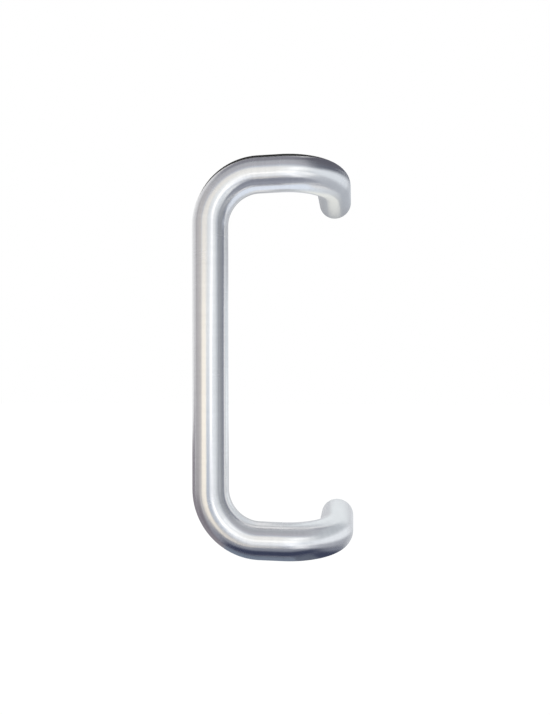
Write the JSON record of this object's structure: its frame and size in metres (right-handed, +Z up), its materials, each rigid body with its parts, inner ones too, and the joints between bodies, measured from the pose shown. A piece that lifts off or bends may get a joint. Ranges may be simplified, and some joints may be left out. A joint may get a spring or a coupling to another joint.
{
  "type": "offset pull handle",
  "caption": "Satin steel door pull bent from one round bar, its upright grip set to one side of the two tapped feet that bolt to the door.",
  "frame": {"origin": "on the door face, midway between the centres of the two feet", "axes": "+Y into the door, along the fixing holes; +Z up, along the grip; the grip stands on the -X side"},
  "size_m": [0.1111, 0.0889, 0.2794],
  "materials": {
    "satin_steel": "satin brushed round the bar"
  },
  "bodies": {
    "root": {"pull_bar": "satin_steel"}
  },
  "joints": []
}
